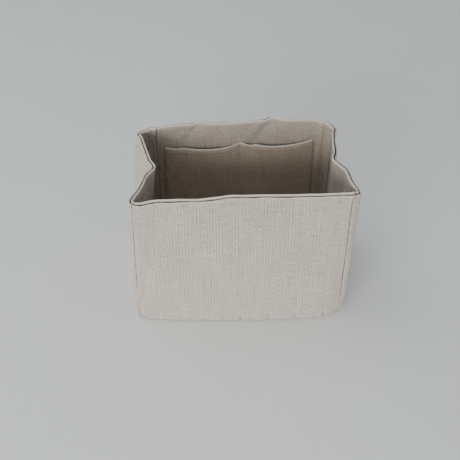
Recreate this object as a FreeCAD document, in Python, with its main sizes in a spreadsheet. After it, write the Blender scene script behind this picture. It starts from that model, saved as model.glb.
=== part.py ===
import FreeCAD, Part
import math
import os

import Sketcher

# A soft, padded fabric organizer box. Every wall is three plies: outer cloth, padding and lining cloth.
# +X is to the right, +Y to the back, +Z up; the origin is the middle of the base's underside.

SIZES = {
    # the box
    "body_width": 250.0,
    "body_depth": 165.0,
    "front_height": 177.0,
    "back_height": 181.0,
    "back_bow": 12.0,
    "bottom_radius": 12.0,
    "base_corner": 4.0,
    # the wall's plies, from the outside in
    "cloth": 0.8,
    "padding": 2.1,
    "ply_gap": 0.15,
    # seams
    "seam_gap": 1.2,
    "base_gap": 1.0,
    "rim_groove": 1.5,
    # gussets
    "foot_inset": 4.0,
    "foot_height": 14.0,
    "leaf_bulge": 2.0,
    "left_fold_depth": 20.0,
    "left_fold_place": -10.5,
    "right_fold_depth": 13.0,
    "right_fold_place": -2.0,
    # pockets
    "pocket_left": -94.0,
    "pocket_divide": 5.0,
    "pocket_right": 104.0,
    "pocket_top": 151.0,
    "pocket_gape": 8.0,
    "pocket_ease": 12.0,
    "pocket_cloth": 1.0,
    "side_pocket_top": 153.0,
    # thread
    "thread_radius": 0.3,
    "stitch_length": 2.8,
    "stitch_pitch": 3.6,
    "hem_depth": 4.0,
}

HALF_WIDTH = "Sizes.body_width / 2"
HALF_DEPTH = "Sizes.body_depth / 2"
WALL = "(2 * Sizes.cloth + Sizes.padding + 2 * Sizes.ply_gap)"
GUSSET_FOOT = f"{WALL} + Sizes.base_gap"

# each ply's outer and inner distance from the wall's outside
OUTER_PLY = ("0", "Sizes.cloth")
PADDING_PLY = ("(Sizes.cloth + Sizes.ply_gap)", "(Sizes.cloth + Sizes.ply_gap + Sizes.padding)")
LINING_PLY = (f"({WALL} - Sizes.cloth)", WALL)
POCKET_PLY = (f"({WALL} + Sizes.ply_gap)", f"({WALL} + Sizes.ply_gap + Sizes.cloth)")

# the middle of a quarter round, as a share of its radius in from both of its tangents
ROUND_SHARE = 0.293

# edge directions that get rounded
UPRIGHT = FreeCAD.Vector(0, 0, 1)
ACROSS_CLOTH = FreeCAD.Vector(0, 1, 0)

doc = FreeCAD.newDocument("organizer")
sub_parts = []


def fill_sheet():
    """The driving dimensions, one row each: the name, then the value under that name as its alias."""
    sheet = doc.addObject("Spreadsheet::Sheet", "Sizes")
    for row, (name, value) in enumerate(SIZES.items(), start=1):
        sheet.set(f"A{row}", name)
        sheet.set(f"B{row}", f"{value:g}")
        sheet.setAlias(f"B{row}", name)
    doc.recompute()
    return sheet


def new_body(label):
    body = doc.addObject("PartDesign::Body", label)
    body.Label = label
    sub_parts.append(body)
    return body


def flat_sketch(body, name, height):
    """An empty sketch on the body's own XY plane, lifted to height."""
    plane = [item for item in body.Origin.OriginFeatures if item.Role == "XY_Plane"][0]
    sketch = body.newObject("Sketcher::SketchObject", name)
    sketch.AttachmentSupport = [(plane, "")]
    sketch.MapMode = "FlatFace"
    sketch.setExpression("AttachmentOffset.Base.z", height)
    return sketch


def polygon_sketch(body, name, corners, height):
    """A closed polygon whose every corner is bound to the sheet. It starts as a rough ring."""
    sketch = flat_sketch(body, name, height)
    count = len(corners)
    ring = []
    for index in range(count):
        turn = 2 * math.pi * (index + 0.3) / count
        ring.append(FreeCAD.Vector(100 * math.cos(turn), 100 * math.sin(turn), 0))
    for index, point in enumerate(ring):
        sketch.addGeometry(Part.LineSegment(point, ring[(index + 1) % count]), False)
    for index in range(count):
        following = (index + 1) % count
        sketch.addConstraint(Sketcher.Constraint("Coincident", index, 2, following, 1))
    for index, (x_rule, y_rule) in enumerate(corners):
        start = ring[index]
        across = sketch.addConstraint(Sketcher.Constraint("DistanceX", -1, 1, index, 1, start.x))
        sketch.setExpression(f"Constraints[{across}]", x_rule)
        along = sketch.addConstraint(Sketcher.Constraint("DistanceY", -1, 1, index, 1, start.y))
        sketch.setExpression(f"Constraints[{along}]", y_rule)
    return sketch


def slab(label, left, right, front, back, low, high, rounded, radius):
    """A flat ply: a rectangle padded upwards, then filleted on its upright edges or its bottom end edges."""
    body = new_body(label)
    corners = [(left, front), (right, front), (right, back), (left, back)]
    sketch = polygon_sketch(body, f"{label}_outline", corners, low)
    pad = body.newObject("PartDesign::Pad", f"{label}_pad")
    pad.Profile = sketch
    pad.setExpression("Length", f"({high}) - ({low})")
    doc.recompute()
    floor = pad.Shape.BoundBox.ZMin
    names = []
    for index, edge in enumerate(pad.Shape.Edges, start=1):
        along = edge.tangentAt(edge.FirstParameter)
        at_bottom = edge.BoundBox.ZMax < floor + 0.01
        if abs(along.dot(rounded)) > 0.99 and (at_bottom or rounded == UPRIGHT):
            names.append(f"Edge{index}")
    fillet = body.newObject("PartDesign::Fillet", f"{label}_corners")
    fillet.Base = (pad, names)
    fillet.setExpression("Radius", radius)
    body.Tip = fillet


def strip_loft(label, sections):
    """A ruled loft through level outlines: each section is its height and its corners."""
    body = new_body(label)
    sketches = []
    for number, (height, corners) in enumerate(sections):
        sketches.append(polygon_sketch(body, f"{label}_level{number}", corners, height))
    doc.recompute()
    loft = body.newObject("PartDesign::AdditiveLoft", f"{label}_loft")
    loft.Profile = sketches[0]
    loft.Sections = sketches[1:]
    loft.Ruled = True
    body.Tip = loft


def front_wall():
    """Three flat plies across the whole width, with the two bottom corners rounded."""
    plies = {
        "outer_front_panel": (OUTER_PLY, "0", "Sizes.front_height"),
        "front_padding": (
            PADDING_PLY, "Sizes.cloth + Sizes.ply_gap", "Sizes.front_height - Sizes.rim_groove",
        ),
        "lining_front_panel": (LINING_PLY, f"{WALL} - Sizes.cloth", "Sizes.front_height"),
    }
    for label, (ply, low, high) in plies.items():
        slab(
            label, f"-{HALF_WIDTH}", HALF_WIDTH,
            f"-{HALF_DEPTH} + {ply[0]}", f"-{HALF_DEPTH} + {ply[1]}",
            low, high, ACROSS_CLOTH, "Sizes.bottom_radius",
        )


def base():
    """Three flat plies between the front and back walls, with rounded corners in plan."""
    foot = f"({HALF_WIDTH} - Sizes.foot_inset)"
    plies = {
        "outer_base_panel": (OUTER_PLY, "Sizes.cloth + Sizes.ply_gap"),
        "base_board": (PADDING_PLY, "Sizes.cloth + Sizes.padding + 2 * Sizes.ply_gap"),
        "lining_base_panel": (LINING_PLY, f"{WALL} + Sizes.seam_gap"),
    }
    for label, (ply, clear) in plies.items():
        slab(
            label, f"-{foot}", foot,
            f"-{HALF_DEPTH} + {clear}", f"{HALF_DEPTH} - ({clear})",
            ply[0], ply[1], UPRIGHT, "Sizes.base_corner",
        )


def bow_at(x_rule):
    """How far the back wall's rim stands back at a place along the width."""
    return f"Sizes.back_bow * (1 - (({x_rule}) / ({HALF_WIDTH}))^2)"


def back_stations(inset):
    """Places along the width where the back wall bends: its ends, the pocket's seams and cell middles."""
    left_middle = "(Sizes.pocket_left + Sizes.pocket_divide) / 2"
    right_middle = "(Sizes.pocket_divide + Sizes.pocket_right) / 2"
    return [
        f"-({HALF_WIDTH} - {inset})", "Sizes.pocket_left", left_middle, "Sizes.pocket_divide",
        right_middle, "Sizes.pocket_right", f"{HALF_WIDTH} - {inset}",
    ]


def back_corners(ply, rise, inset):
    """The back wall's outline at a level. rise runs from 0 at the base to 1 at the rim."""
    rear = []
    fore = []
    for x_rule in back_stations(inset):
        bow = f"{HALF_DEPTH} + {rise} * {bow_at(x_rule)}"
        rear.append((x_rule, f"{bow} - {ply[0]}"))
        fore.append((x_rule, f"{bow} - {ply[1]}"))
    return fore + rear[::-1]


def back_wall():
    """Three plies that stand up straight at the base and bow backwards at the rim."""
    plies = {
        "outer_back_panel": (OUTER_PLY, "0", "Sizes.back_height"),
        "back_padding": (
            PADDING_PLY, "(Sizes.cloth + Sizes.ply_gap)", "(Sizes.back_height - Sizes.rim_groove)",
        ),
        "lining_back_panel": (LINING_PLY, f"({WALL} - Sizes.cloth)", "Sizes.back_height"),
    }
    for label, (ply, low, high) in plies.items():
        round_levels = [
            (low, "Sizes.bottom_radius"),
            (f"({low} + {ROUND_SHARE} * Sizes.bottom_radius)", f"{ROUND_SHARE} * Sizes.bottom_radius"),
            (f"({low} + Sizes.bottom_radius)", "0"),
            (high, "0"),
        ]
        sections = []
        for level, inset in round_levels:
            sections.append((level, back_corners(ply, f"({level} / Sizes.back_height)", inset)))
        strip_loft(label, sections)


def gusset_corners(side, ply, folded, inset):
    """A gusset's outline at a level. folded runs from 0 at the foot to 1 at the rim."""
    sign = -1 if side == "left" else 1
    depth = f"Sizes.{side}_fold_depth"
    place = f"Sizes.{side}_fold_place"
    end = f"({HALF_DEPTH} - {WALL} - Sizes.seam_gap)"
    stations = [
        (f"-{end}", "0"),
        (f"({place} - {end}) / 2", f"({depth} / 2 - Sizes.leaf_bulge)"),
        (place, depth),
        (f"({place} + {end}) / 2", f"({depth} / 2 - Sizes.leaf_bulge)"),
        (end, "0"),
    ]
    faces = []
    for distance in ply:
        face = []
        for y_rule, fold in stations:
            reach = f"{HALF_WIDTH} - {inset} - {distance} - {folded} * {fold}"
            face.append((f"{sign} * ({reach})", y_rule))
        faces.append(face)
    return faces[0] + faces[1][::-1]


def folded_at(level):
    """How much of the rim's fold a gusset has at a level above its rounded foot."""
    return f"(({level} - Sizes.foot_height) / (Sizes.front_height - Sizes.foot_height))"


def gusset(side):
    """Three plies that are straight at the rounded foot and folded inward at the rim."""
    plies = {
        f"outer_{side}_gusset": (OUTER_PLY, "Sizes.front_height"),
        f"{side}_gusset_padding": (PADDING_PLY, "(Sizes.front_height - Sizes.rim_groove)"),
        f"lining_{side}_gusset": (LINING_PLY, "Sizes.front_height"),
    }
    for label, (ply, high) in plies.items():
        sections = [
            (GUSSET_FOOT, gusset_corners(side, ply, "0", "Sizes.foot_inset")),
            ("Sizes.foot_height", gusset_corners(side, ply, "0", "0")),
            (high, gusset_corners(side, ply, folded_at(high), "0")),
        ]
        strip_loft(label, sections)


def side_pocket():
    """A flat pocket panel that lies on the left gusset's lining and folds with it."""
    top = "Sizes.side_pocket_top"
    sections = [
        ("Sizes.foot_height", gusset_corners("left", POCKET_PLY, "0", "0")),
        (top, gusset_corners("left", POCKET_PLY, folded_at(top), "0")),
    ]
    strip_loft("left_side_pocket", sections)


def pocket_corners(rise, gape):
    """The slip pocket's outline at a level: sewn flat at its ends and divider, standing off between."""
    ease = "Sizes.pocket_ease"
    cells = [("Sizes.pocket_left", "Sizes.pocket_divide"), ("Sizes.pocket_divide", "Sizes.pocket_right")]
    stations = [("Sizes.pocket_left", "0")]
    for start, end in cells:
        stations.append((f"{start} + {ease}", f"0.7 * {gape}"))
        stations.append((f"({start} + {end}) / 2", gape))
        stations.append((f"{end} - {ease}", f"0.7 * {gape}"))
        stations.append((end, "0"))
    against = []
    facing = []
    for x_rule, stand_off in stations:
        lining = f"{HALF_DEPTH} + {rise} * {bow_at(x_rule)} - {WALL} - Sizes.ply_gap"
        against.append((x_rule, f"{lining} - {stand_off}"))
        facing.append((x_rule, f"{lining} - {stand_off} - Sizes.pocket_cloth"))
    return facing + against[::-1]


def rear_pocket():
    """The double slip pocket: sewn flat along the base, open and gaping at its hemmed top."""
    low = f"({GUSSET_FOOT})"
    sections = [
        (low, pocket_corners(f"({low} / Sizes.back_height)", "0")),
        ("Sizes.pocket_top", pocket_corners("(Sizes.pocket_top / Sizes.back_height)", "Sizes.pocket_gape")),
    ]
    strip_loft("rear_slip_pocket", sections)


def thread_run(label, axis, x_rule, y_rule, z_rule, length):
    """One straight run of seam thread, from its low end along an axis."""
    run = doc.addObject("Part::Cylinder", label)
    run.Label = label
    turns = {
        "along": FreeCAD.Rotation(FreeCAD.Vector(1, 0, 0), -90),
        "up": FreeCAD.Rotation(),
    }
    run.Placement = FreeCAD.Placement(FreeCAD.Vector(), turns[axis])
    run.setExpression("Radius", "Sizes.thread_radius")
    run.setExpression("Height", length)
    run.setExpression("Placement.Base.x", x_rule)
    run.setExpression("Placement.Base.y", y_rule)
    run.setExpression("Placement.Base.z", z_rule)
    sub_parts.append(run)


def seam_threads():
    """Thread in the four corner seams, and in the two seams that the gussets turn on."""
    corner_x = f"({HALF_WIDTH} - {WALL} / 2)"
    corner_y = f"({HALF_DEPTH} - {WALL} - Sizes.seam_gap / 2)"
    foot_x = f"({HALF_WIDTH} - Sizes.foot_inset - {WALL} / 2)"
    foot_y = f"({HALF_DEPTH} - {WALL} - Sizes.seam_gap)"
    for end, y_sign in (("front", "-"), ("back", "")):
        for side, x_sign in (("left", "-"), ("right", "")):
            thread_run(
                f"corner_thread_{end}_{side}", "up", f"{x_sign}{corner_x}", f"{y_sign}{corner_y}",
                "Sizes.foot_height", "Sizes.front_height - Sizes.foot_height - Sizes.rim_groove",
            )
    for side, x_sign in (("left", "-"), ("right", "")):
        thread_run(
            f"{side}_base_thread", "along", f"{x_sign}{foot_x}", f"-{foot_y}",
            f"{WALL} + Sizes.base_gap / 2", f"2 * {foot_y}",
        )


def stitches(label, routes, sheet):
    """Separate stitches in rows: each route is a list of points, and each leg carries whole stitches."""
    pitch = sheet.stitch_pitch
    solids = []
    for route in routes:
        for start, end in zip(route, route[1:]):
            leg = end - start
            count = int(leg.Length // pitch)
            if count < 1:
                continue
            direction = FreeCAD.Vector(leg).normalize()
            spare = leg.Length - count * pitch
            for number in range(count):
                reach = spare / 2 + number * pitch + (pitch - sheet.stitch_length) / 2
                place = start + direction * reach
                solids.append(Part.makeCylinder(sheet.thread_radius, sheet.stitch_length, place, direction))
    feature = doc.addObject("Part::Feature", label)
    feature.Label = label
    feature.Shape = Part.makeCompound(solids)
    feature.Placement = FreeCAD.Placement()
    sub_parts.append(feature)


def pocket_face(sheet, x, z):
    """The slip pocket's front face, as a place front to back, at a place along the width and a height."""
    wall = 2 * sheet.cloth + sheet.padding + 2 * sheet.ply_gap
    low = wall + sheet.base_gap
    climb = (z - low) / (sheet.pocket_top - low)
    stations = [(sheet.pocket_left, 0.0)]
    for start, end in (
        (sheet.pocket_left, sheet.pocket_divide),
        (sheet.pocket_divide, sheet.pocket_right),
    ):
        stations.append((start + sheet.pocket_ease, 0.7 * sheet.pocket_gape))
        stations.append(((start + end) / 2, sheet.pocket_gape))
        stations.append((end - sheet.pocket_ease, 0.7 * sheet.pocket_gape))
        stations.append((end, 0.0))
    for (x_before, gape_before), (x_after, gape_after) in zip(stations, stations[1:]):
        if x_before - 0.001 <= x <= x_after + 0.001:
            share = (x - x_before) / (x_after - x_before)
            depths = []
            for x_end, gape in ((x_before, gape_before), (x_after, gape_after)):
                bow = sheet.back_bow * (1 - (2 * x_end / sheet.body_width) ** 2)
                low_y = sheet.body_depth / 2 + low / sheet.back_height * bow
                top_y = sheet.body_depth / 2 + sheet.pocket_top / sheet.back_height * bow - gape
                depths.append(low_y + climb * (top_y - low_y))
            depth = depths[0] + share * (depths[1] - depths[0])
            return depth - wall - sheet.ply_gap - sheet.pocket_cloth
    raise ValueError(f"{x} is not on the pocket")


def pocket_threads(sheet):
    """Topstitching on the slip pocket: under its hem, down its divider and down its two sides."""
    proud = 1.5 * sheet.thread_radius
    side_inset = 2.5
    hem_z = sheet.pocket_top - sheet.hem_depth
    ease = sheet.pocket_ease
    hem = []
    for start, end in (
        (sheet.pocket_left, sheet.pocket_divide),
        (sheet.pocket_divide, sheet.pocket_right),
    ):
        stations = [start + side_inset, start + ease, (start + end) / 2, end - ease, end - side_inset]
        hem.append([FreeCAD.Vector(x, pocket_face(sheet, x, hem_z) - proud, hem_z) for x in stations])
    stitches("pocket_hem_thread", hem, sheet)

    def upright(x):
        heights = (sheet.foot_height, hem_z - side_inset)
        return [FreeCAD.Vector(x, pocket_face(sheet, x, z) - proud, z) for z in heights]

    stitches("pocket_divider_thread", [upright(sheet.pocket_divide)], sheet)
    sides = [upright(sheet.pocket_left + 1), upright(sheet.pocket_right - 1)]
    stitches("pocket_side_thread", sides, sheet)


def gusset_face(sheet, side, distance, z):
    """Points along a gusset at a height, at a distance in from its outside: ends, leaf middles and fold."""
    sign = -1 if side == "left" else 1
    depth = sheet.get(f"{side}_fold_depth")
    place = sheet.get(f"{side}_fold_place")
    wall = 2 * sheet.cloth + sheet.padding + 2 * sheet.ply_gap
    end = sheet.body_depth / 2 - wall - sheet.seam_gap - 1
    folded = (z - sheet.foot_height) / (sheet.front_height - sheet.foot_height)
    leaf = depth / 2 - sheet.leaf_bulge
    stations = [(-end, 0), ((place - end) / 2, leaf), (place, depth), ((place + end) / 2, leaf), (end, 0)]
    points = []
    for y, fold in stations:
        points.append(FreeCAD.Vector(sign * (sheet.body_width / 2 - distance - folded * fold), y, z))
    return points


def rim_threads(sheet):
    """Thread in the groove along the rim, above the padding, and under the side pocket's hem."""
    wall = 2 * sheet.cloth + sheet.padding + 2 * sheet.ply_gap
    drop = sheet.rim_groove / 2
    half = sheet.body_width / 2 - wall
    front_y = wall / 2 - sheet.body_depth / 2
    front_z = sheet.front_height - drop
    front = [FreeCAD.Vector(-half, front_y, front_z), FreeCAD.Vector(half, front_y, front_z)]
    stitches("front_rim_thread", [front], sheet)

    back = []
    middles = (
        (sheet.pocket_left + sheet.pocket_divide) / 2,
        (sheet.pocket_divide + sheet.pocket_right) / 2,
    )
    places = (
        -half, sheet.pocket_left, middles[0], sheet.pocket_divide,
        middles[1], sheet.pocket_right, half,
    )
    for x in places:
        bow = sheet.back_bow * (1 - (2 * x / sheet.body_width) ** 2)
        back.append(FreeCAD.Vector(x, sheet.body_depth / 2 + bow - wall / 2, sheet.back_height - drop))
    stitches("back_rim_thread", [back], sheet)

    for side in ("left", "right"):
        stitches(f"{side}_rim_thread", [gusset_face(sheet, side, wall / 2, front_z)], sheet)
    proud = wall + sheet.ply_gap + sheet.cloth + sheet.thread_radius + 0.25
    hem_z = sheet.side_pocket_top - sheet.hem_depth
    stitches("side_pocket_hem_thread", [gusset_face(sheet, "left", proud, hem_z)], sheet)


def base_thread(sheet):
    """Thread in the seam that joins the lining's base to its front and back walls."""
    wall = 2 * sheet.cloth + sheet.padding + 2 * sheet.ply_gap
    seam_y = sheet.body_depth / 2 - wall - sheet.seam_gap / 2
    seam_x = sheet.body_width / 2 - sheet.foot_inset - sheet.base_corner
    seam_z = wall - sheet.cloth / 2
    rows = []
    for y in (-seam_y, seam_y):
        rows.append([FreeCAD.Vector(-seam_x, y, seam_z), FreeCAD.Vector(seam_x, y, seam_z)])
    stitches("lining_base_thread", rows, sheet)


def check_and_write():
    """Stops on a failed object or an empty or invalid shape, then writes one STEP file per sub-part."""
    for item in doc.Objects:
        bad = {"Invalid", "Error"} & set(item.State)
        if bad:
            raise RuntimeError(f"{item.Label}: {sorted(bad)}")
    for item in sub_parts:
        if item.Shape.isNull() or not item.Shape.isValid():
            raise RuntimeError(f"{item.Label}: its shape is empty or invalid")
    os.makedirs("parts", exist_ok=True)
    for item in sub_parts:
        item.Shape.exportStep(f"parts/{item.Label}.step")
        box = item.Shape.BoundBox
        print(f"{item.Label:28s} {len(item.Shape.Solids):3d} solids {item.Shape.Volume:10.1f} mm3", end=" ")
        print(f"x {box.XMin:7.1f} {box.XMax:7.1f}", end=" ")
        print(f"y {box.YMin:6.1f} {box.YMax:6.1f}", end=" ")
        print(f"z {box.ZMin:6.1f} {box.ZMax:6.1f}")


sizes = fill_sheet()
front_wall()
back_wall()
gusset("left")
gusset("right")
base()
rear_pocket()
side_pocket()
seam_threads()
pocket_threads(sizes)
rim_threads(sizes)
base_thread(sizes)
doc.recompute()
check_and_write()
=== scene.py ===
import math

import bpy
import numpy as np
from mathutils import Matrix, Vector


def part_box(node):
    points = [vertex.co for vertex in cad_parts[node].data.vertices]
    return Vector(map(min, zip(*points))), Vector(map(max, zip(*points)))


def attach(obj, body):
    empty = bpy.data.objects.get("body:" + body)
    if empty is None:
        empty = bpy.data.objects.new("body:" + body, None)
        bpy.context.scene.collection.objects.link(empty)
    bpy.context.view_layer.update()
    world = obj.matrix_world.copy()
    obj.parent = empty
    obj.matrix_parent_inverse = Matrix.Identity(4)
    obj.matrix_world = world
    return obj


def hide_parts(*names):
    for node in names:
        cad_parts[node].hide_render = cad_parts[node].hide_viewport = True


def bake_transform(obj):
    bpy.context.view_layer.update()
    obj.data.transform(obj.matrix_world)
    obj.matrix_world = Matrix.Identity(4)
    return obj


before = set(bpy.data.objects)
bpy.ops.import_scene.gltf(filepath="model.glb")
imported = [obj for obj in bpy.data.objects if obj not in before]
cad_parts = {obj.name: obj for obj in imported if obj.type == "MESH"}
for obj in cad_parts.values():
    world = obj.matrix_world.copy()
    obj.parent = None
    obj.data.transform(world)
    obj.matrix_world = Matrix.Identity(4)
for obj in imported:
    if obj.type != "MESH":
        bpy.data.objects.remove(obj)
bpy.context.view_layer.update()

# A soft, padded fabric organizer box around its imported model. Lengths in the tables are millimetres.
MM = 0.001

FRONT_LOW, FRONT_HIGH = (np.array(corner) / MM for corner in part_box("outer_front_panel"))
HALF_WIDTH = FRONT_HIGH[0]
HALF_DEPTH = -FRONT_LOW[1]
HEIGHT = FRONT_HIGH[2]
SIDE_POCKET_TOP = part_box("left_side_pocket")[1][2] / MM

# how closely the cloth's surface is divided across and up the walls
COLUMN = 0.85
ROW = 2.0

# the cloth's ribs
RIB_PITCH = 3.6
RIB_RELIEF = 0.05

# the foot: its round edge, the core that its corners turn about, and the height where they are square
FOOT_ROUND = 5.0
CORE_INSET = 12.0
CORNER_SHARE = 0.6
SQUARED_HEIGHT = 22.0
# how much more the foot's edge is rounded at a corner, how far along the wall, and up to which height
CORNER_SOFT = 2.6
CORNER_WIDTH = 9.0
CORNER_HEIGHT = 9.0
# over 1, a wall leans out more near its rim than near its foot
WALL_LEAN = 1.15
# how far down a kink lifts the rim's cloth
KINK_LIFT_FADE = 9.0
BASE_CORE = np.array([110, 68])
FAR_AWAY = 1e6

# the wall's plies, as depths in from its outside: along the wall, and at their turned hems
OUTER = (0.0, 0.8)
OUTER_HEM = (0.0, 1.15)
LINING = (3.5, 4.3)
LINING_HEM = (2.7, 4.8)
PADDING = (0.95, 3.3)
PADDING_DROP = 9.0
HEM_DEEP = 9.0
HEM_EASE = 5.0
# on the front, the outer cloth's rim is a little lower than the lining's: how much each moves, how far
# round the corners it fades, and the climb where it starts
OUTER_DROP = 1.0
LINING_LIFT = 1.0
RIM_STEP_FADE = 14.0
RIM_STEP_START = 0.93
# the climb where the rim's crown starts to be painted paler as a painted highlight, and the width of the band
# of painted shade along a sewn seam
RIM_PAINTED_LIGHT_START = 0.985
SEAM_PAINTED_SHADE = 0.7

# the base's plies, as heights
BASE_OUTER = (0.0, 0.8)
BASE_BOARD = (1.0, 3.2)
BASE_LINING = (3.5, 4.3)

# the height of the flat cloth on the front and the gussets
FRONT_FLAT = 180

POCKET_CLOTH_THICK = 1.0

# the thread, and a stitch and its pitch
STITCH = 2.8
STITCH_PITCH = 3.6
THREAD_RADIUS = 0.3
THREAD_SIDES = 8

# Each wall's stations, in order round the box seen from above: the place along the wall at its foot
# and at its rim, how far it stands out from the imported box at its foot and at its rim, and the rim's rise.
FRONT_STATIONS = [
    (-129.0, -125.2, 0.4, 0.8, -2.6), (-118.0, -116.5, 2.4, 3.2, -3.4), (-103.0, -103.0, 4.8, 1.8, -1.8),
    (-75.0, -75.0, 7.6, 0.8, -1.6), (-50.0, -50.0, 9.0, 0.4, -2.0), (-37.0, -37.0, 9.8, 0.2, -1.0),
    (-22.0, -22.0, 10.6, 0.2, 1.2), (15.0, 15.0, 11.4, 0.0, 1.3), (62.0, 62.0, 11.4, -0.4, 0.4),
    (100.0, 100.0, 8.8, -0.8, 0.2), (112.0, 112.0, 5.4, -0.8, 0.5), (122.0, 121.6, 1.0, -0.6, 0.8),
]
RIGHT_STATIONS = [
    (-80.0, -79.0, 2.6, 5.2, 0.5), (-72.0, -72.0, 3.4, 6.8, 0.0), (-53.0, -53.5, 3.2, 3.4, 0.0),
    (-39.0, -39.5, 2.2, 2.6, 0.0), (-25.0, -25.5, 2.2, 1.0, 0.0), (-12.0, -12.5, 2.2, -4.6, 0.0),
    (-2.0, -2.0, 2.2, -8.8, 0.0), (13.0, 13.5, 2.2, -5.0, 0.0), (41.0, 40.5, 2.2, -1.6, 0.0),
    (64.0, 62.0, 2.2, 1.6, 0.0), (77.0, 77.0, 1.6, 3.4, 0.4),
]
BACK_STATIONS = [
    (122.0, 122.0, 0.0, 5.5, 1.6), (109.0, 110.0, 0.8, 11.0, 3.2), (70.0, 71.0, 1.0, 13.4, 3.9),
    (36.0, 36.0, 1.0, 13.6, 4.1), (0.0, 0.0, 1.0, 10.4, 3.2), (-36.0, -37.0, 1.0, 10.0, 3.2),
    (-80.0, -80.0, 1.0, 8.4, 2.7), (-103.0, -104.0, 1.0, 4.4, 1.2), (-119.0, -117.0, 0.2, 1.6, 0.4),
]
LEFT_STATIONS = [
    (78.0, 75.0, 1.6, 1.6, 0.0), (60.0, 60.0, 3.0, -1.4, 0.0), (44.0, 43.5, 3.2, -5.0, 0.0),
    (20.0, 20.5, 3.2, -10.2, 0.0), (4.0, 4.0, 3.2, -14.2, 0.0), (-10.5, -10.5, 3.2, -19.6, 0.0),
    (-25.0, -25.5, 3.2, -12.4, 0.0), (-45.0, -45.5, 3.2, -8.0, 0.0), (-62.0, -62.0, 5.6, -3.4, -0.4),
    (-74.0, -74.0, 7.0, 1.8, -1.2), (-80.0, -80.5, 6.4, 3.4, -2.0),
]


def outline_point(side, place, out):
    """A place along one wall, and how far it stands out, as a point seen from above."""
    return {
        "front": (place, -HALF_DEPTH - out),
        "right": (HALF_WIDTH + out, place),
        "back": (place, HALF_DEPTH + out),
        "left": (-HALF_WIDTH - out, place),
    }[side]


def read_stations():
    """All stations in one ring: foot and rim points, rim rises, distances round the foot, and each
    wall's first station."""
    foot, rim, rise, starts = [], [], [], {}
    walls = [
        ("front", FRONT_STATIONS), ("right", RIGHT_STATIONS),
        ("back", BACK_STATIONS), ("left", LEFT_STATIONS),
    ]
    for side, stations in walls:
        starts[side] = len(foot)
        for foot_place, rim_place, foot_out, rim_out, lift in stations:
            foot.append(outline_point(side, foot_place, foot_out))
            rim.append(outline_point(side, rim_place, rim_out))
            rise.append(lift)
    foot = np.array(foot)
    steps = np.linalg.norm(np.roll(foot, -1, 0) - foot, axis=1)
    places = np.concatenate([[0], np.cumsum(steps)])
    return foot, np.array(rim), np.array(rise), places, starts


FOOT, RIM, RISE, PLACES, STARTS = read_stations()
ROUND = PLACES[-1]
RING_VALUES = np.column_stack([FOOT, RIM, RISE])

# where the panels are sewn together, as distances round the foot
FRONT_LEFT = 0.0
FRONT_RIGHT = PLACES[STARTS["right"] - 1]
BACK_RIGHT = PLACES[STARTS["back"]]
BACK_LEFT = PLACES[STARTS["left"] - 1]
LINING_BACK_LEFT = PLACES[STARTS["left"] - 2]
LINING_BACK_RIGHT = PLACES[STARTS["back"] - 1]
RIGHT_FOLD = PLACES[STARTS["right"] + 6]
LEFT_FOLD = PLACES[STARTS["left"] + 5]
SEAMS = {
    "front_left": FRONT_LEFT, "front_right": FRONT_RIGHT, "back_right": BACK_RIGHT, "back_left": BACK_LEFT,
}


def ring(places):
    """Foot x and y, rim x and y, and rise at distances round the foot: a smooth closed spline."""
    places = np.mod(places, ROUND)
    index = np.clip(np.searchsorted(PLACES, places, side="right") - 1, 0, len(FOOT) - 1)
    count = len(FOOT)
    before, after, beyond = (index - 1) % count, (index + 1) % count, (index + 2) % count
    steps = np.diff(PLACES)
    span, span_before, span_after = steps[index], steps[before], steps[after]
    share = ((places - PLACES[index]) / span)[..., None]
    start, end = RING_VALUES[index], RING_VALUES[after]
    slope = (end - start) / span[..., None]
    slope_before = (start - RING_VALUES[before]) / span_before[..., None]
    slope_after = (RING_VALUES[beyond] - end) / span_after[..., None]
    lean = span[..., None] / (span + span_before)[..., None]
    start_slope = slope * (1 - lean) + slope_before * lean
    lean = span[..., None] / (span + span_after)[..., None]
    end_slope = slope * (1 - lean) + slope_after * lean
    cube, square = share**3, share**2
    return (
        (2 * cube - 3 * square + 1) * start
        + (cube - 2 * square + share) * span[..., None] * start_slope
        + (3 * square - 2 * cube) * end
        + (cube - square) * span[..., None] * end_slope
    )


def waves(across, up, seed, length, count=7):
    """Smooth, seeded unevenness of about a wavelength, from -1 to 1."""
    chance = np.random.default_rng(seed)
    total = 0
    for _ in range(count):
        turn = chance.uniform(0, 2 * math.pi)
        reach = 2 * math.pi / (length * chance.uniform(0.7, 1.6))
        total = total + np.sin(
            reach * (across * math.cos(turn) + up * math.sin(turn)) + chance.uniform(0, 2 * math.pi)
        )
    return total / math.sqrt(count) / 1.4


def smooth(value):
    """A soft step from 0 to 1."""
    value = np.clip(value, 0, 1)
    return value * value * (3 - 2 * value)


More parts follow.
